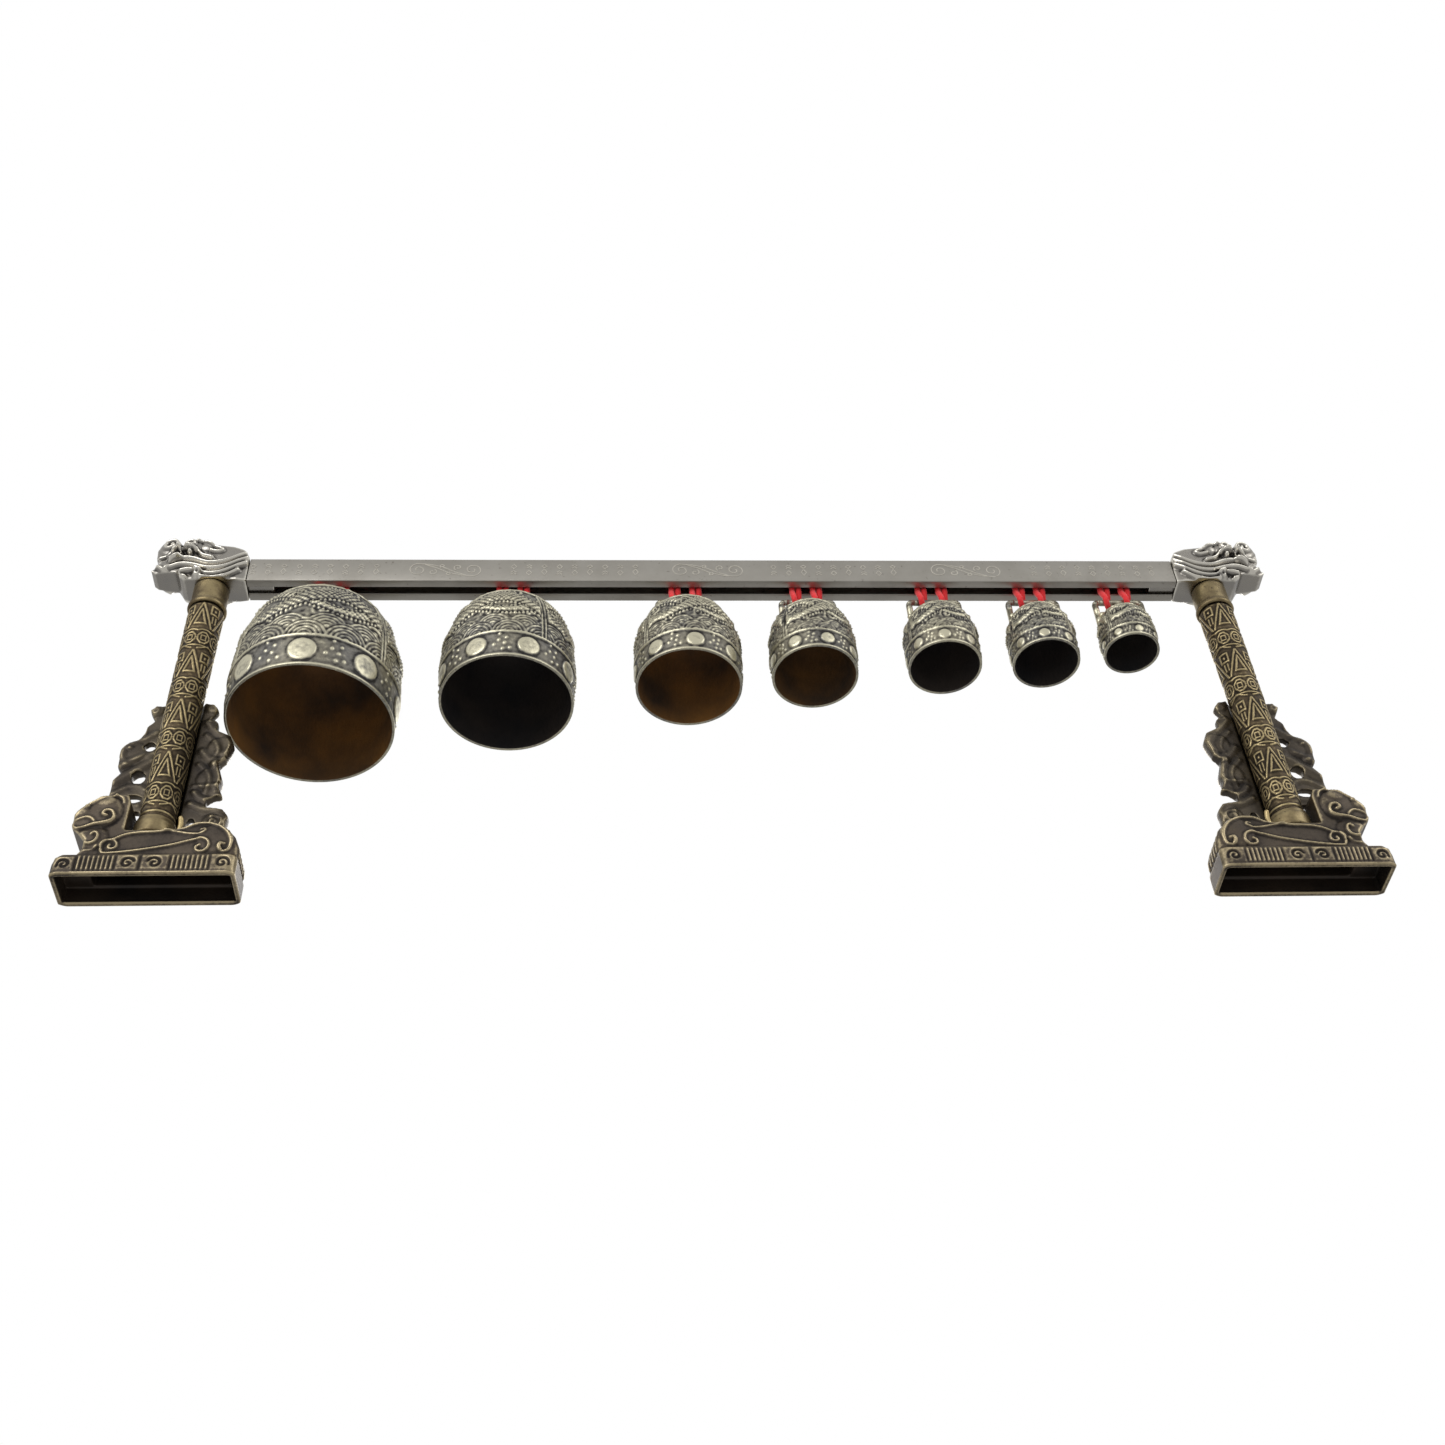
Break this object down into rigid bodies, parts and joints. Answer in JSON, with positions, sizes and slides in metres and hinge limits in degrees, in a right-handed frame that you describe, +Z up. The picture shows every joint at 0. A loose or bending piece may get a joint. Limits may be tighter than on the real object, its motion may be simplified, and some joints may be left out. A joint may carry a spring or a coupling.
{
  "type": "chime bell set",
  "caption": "Table-top chime of graduated egg-shaped bells hung on red cords from a slotted beam with dragon-head caps, on two patterned columns with beast bases.",
  "frame": {"origin": "on the surface the two bases stand on, midway between the columns, in the plane through both column axes", "axes": "+X along the beam from the large bells to the small bells, -Y to the front (engraved face of the beam), +Z up"},
  "size_m": [0.401, 0.0556, 0.1556],
  "materials": {
    "aged_bronze": "dark antique bronze casting with rubbed bright edges",
    "bracket_bronze": "dark antique bronze casting, satin",
    "column_brass": "antique brass, dark in the pattern, rubbed on the ridges",
    "collar_brass": "worn smooth brass",
    "beam_nickel": "nickel-silver plate, smooth and glossy",
    "cap_pewter": "bright pewter-coloured casting with dark recesses",
    "bell_silver": "antique silver outside with brass-coloured high spots, dark brown inside",
    "red_cord": "braided red cord",
    "steel": "plain bright steel"
  },
  "bodies": {
    "stand": {"left_base": "aged_bronze", "left_base_screw": "steel", "left_column": "column_brass", "left_top_collar": "collar_brass", "left_foot_collar": "collar_brass", "left_bracket": "bracket_bronze", "left_dragon_cap": "cap_pewter", "right_base": "aged_bronze", "right_base_screw": "steel", "right_column": "column_brass", "right_top_collar": "collar_brass", "right_foot_collar": "collar_brass", "right_bracket": "bracket_bronze", "right_dragon_cap": "cap_pewter", "beam_channel": "beam_nickel", "hanging_rod": "steel"},
    "loops_1": {"cord_1_left_over_rod": "red_cord", "cord_1_right_over_rod": "red_cord"},
    "cords_1": {"cord_1_left_hanging": "red_cord", "cord_1_right_hanging": "red_cord"},
    "ringer_1": {"bell_1": "bell_silver"},
    "loops_2": {"cord_2_left_over_rod": "red_cord", "cord_2_right_over_rod": "red_cord"},
    "cords_2": {"cord_2_left_hanging": "red_cord", "cord_2_right_hanging": "red_cord"},
    "ringer_2": {"bell_2": "bell_silver"},
    "loops_3": {"cord_3_left_over_rod": "red_cord", "cord_3_right_over_rod": "red_cord"},
    "cords_3": {"cord_3_left_hanging": "red_cord", "cord_3_right_hanging": "red_cord"},
    "ringer_3": {"bell_3": "bell_silver"},
    "loops_4": {"cord_4_left_over_rod": "red_cord", "cord_4_right_over_rod": "red_cord"},
    "cords_4": {"cord_4_left_hanging": "red_cord", "cord_4_right_hanging": "red_cord"},
    "ringer_4": {"bell_4": "bell_silver"},
    "loops_5": {"cord_5_left_over_rod": "red_cord", "cord_5_right_over_rod": "red_cord"},
    "cords_5": {"cord_5_left_hanging": "red_cord", "cord_5_right_hanging": "red_cord"},
    "ringer_5": {"bell_5": "bell_silver"},
    "loops_6": {"cord_6_left_over_rod": "red_cord", "cord_6_right_over_rod": "red_cord"},
    "cords_6": {"cord_6_left_hanging": "red_cord", "cord_6_right_hanging": "red_cord"},
    "ringer_6": {"bell_6": "bell_silver"},
    "loops_7": {"cord_7_left_over_rod": "red_cord", "cord_7_right_over_rod": "red_cord"},
    "cords_7": {"cord_7_left_hanging": "red_cord", "cord_7_right_hanging": "red_cord"},
    "ringer_7": {"bell_7": "bell_silver"}
  },
  "joints": [
    {"name": "place_1", "type": "slide", "parent": "stand", "child": "loops_1", "axis": [1, 0, 0], "range_m": [-0.001, 0.005]},
    {"name": "cord_swing_1", "type": "hinge", "parent": "loops_1", "child": "cords_1", "pos_m": [-0.134, 0, 0.13445], "axis": [1, 0, 0], "range_deg": [-20, 20]},
    {"name": "bell_swing_1", "type": "hinge", "parent": "cords_1", "child": "ringer_1", "pos_m": [-0.134, 0, 0.1278], "axis": [1, 0, 0], "range_deg": [-22, 22]},
    {"name": "place_2", "type": "slide", "parent": "stand", "child": "loops_2", "axis": [1, 0, 0], "range_m": [-0.005, 0.008]},
    {"name": "cord_swing_2", "type": "hinge", "parent": "loops_2", "child": "cords_2", "pos_m": [-0.0715, 0, 0.13445], "axis": [1, 0, 0], "range_deg": [-20, 20]},
    {"name": "bell_swing_2", "type": "hinge", "parent": "cords_2", "child": "ringer_2", "pos_m": [-0.0715, 0, 0.1278], "axis": [1, 0, 0], "range_deg": [-22, 22]},
    {"name": "place_3", "type": "slide", "parent": "stand", "child": "loops_3", "axis": [1, 0, 0], "range_m": [-0.008, 0.004]},
    {"name": "cord_swing_3", "type": "hinge", "parent": "loops_3", "child": "cords_3", "pos_m": [-0.0115, 0, 0.13445], "axis": [1, 0, 0], "range_deg": [-20, 20]},
    {"name": "bell_swing_3", "type": "hinge", "parent": "cords_3", "child": "ringer_3", "pos_m": [-0.0115, 0, 0.1278], "axis": [1, 0, 0], "range_deg": [-22, 22]},
    {"name": "place_4", "type": "slide", "parent": "stand", "child": "loops_4", "axis": [1, 0, 0], "range_m": [-0.004, 0.007]},
    {"name": "cord_swing_4", "type": "hinge", "parent": "loops_4", "child": "cords_4", "pos_m": [0.031, 0, 0.13445], "axis": [1, 0, 0], "range_deg": [-20, 20]},
    {"name": "bell_swing_4", "type": "hinge", "parent": "cords_4", "child": "ringer_4", "pos_m": [0.031, 0, 0.1278], "axis": [1, 0, 0], "range_deg": [-22, 22]},
    {"name": "place_5", "type": "slide", "parent": "stand", "child": "loops_5", "axis": [1, 0, 0], "range_m": [-0.007, 0.0045]},
    {"name": "cord_swing_5", "type": "hinge", "parent": "loops_5", "child": "cords_5", "pos_m": [0.0755, 0, 0.13445], "axis": [1, 0, 0], "range_deg": [-20, 20]},
    {"name": "bell_swing_5", "type": "hinge", "parent": "cords_5", "child": "ringer_5", "pos_m": [0.0755, 0, 0.1278], "axis": [1, 0, 0], "range_deg": [-22, 22]},
    {"name": "place_6", "type": "slide", "parent": "stand", "child": "loops_6", "axis": [1, 0, 0], "range_m": [-0.0045, 0.004]},
    {"name": "cord_swing_6", "type": "hinge", "parent": "loops_6", "child": "cords_6", "pos_m": [0.1105, 0, 0.13445], "axis": [1, 0, 0], "range_deg": [-20, 20]},
    {"name": "bell_swing_6", "type": "hinge", "parent": "cords_6", "child": "ringer_6", "pos_m": [0.1105, 0, 0.1278], "axis": [1, 0, 0], "range_deg": [-22, 22]},
    {"name": "place_7", "type": "slide", "parent": "stand", "child": "loops_7", "axis": [1, 0, 0], "range_m": [-0.004, 0.006]},
    {"name": "cord_swing_7", "type": "hinge", "parent": "loops_7", "child": "cords_7", "pos_m": [0.141, 0, 0.13445], "axis": [1, 0, 0], "range_deg": [-20, 20]},
    {"name": "bell_swing_7", "type": "hinge", "parent": "cords_7", "child": "ringer_7", "pos_m": [0.141, 0, 0.1278], "axis": [1, 0, 0], "range_deg": [-22, 22]}
  ]
}
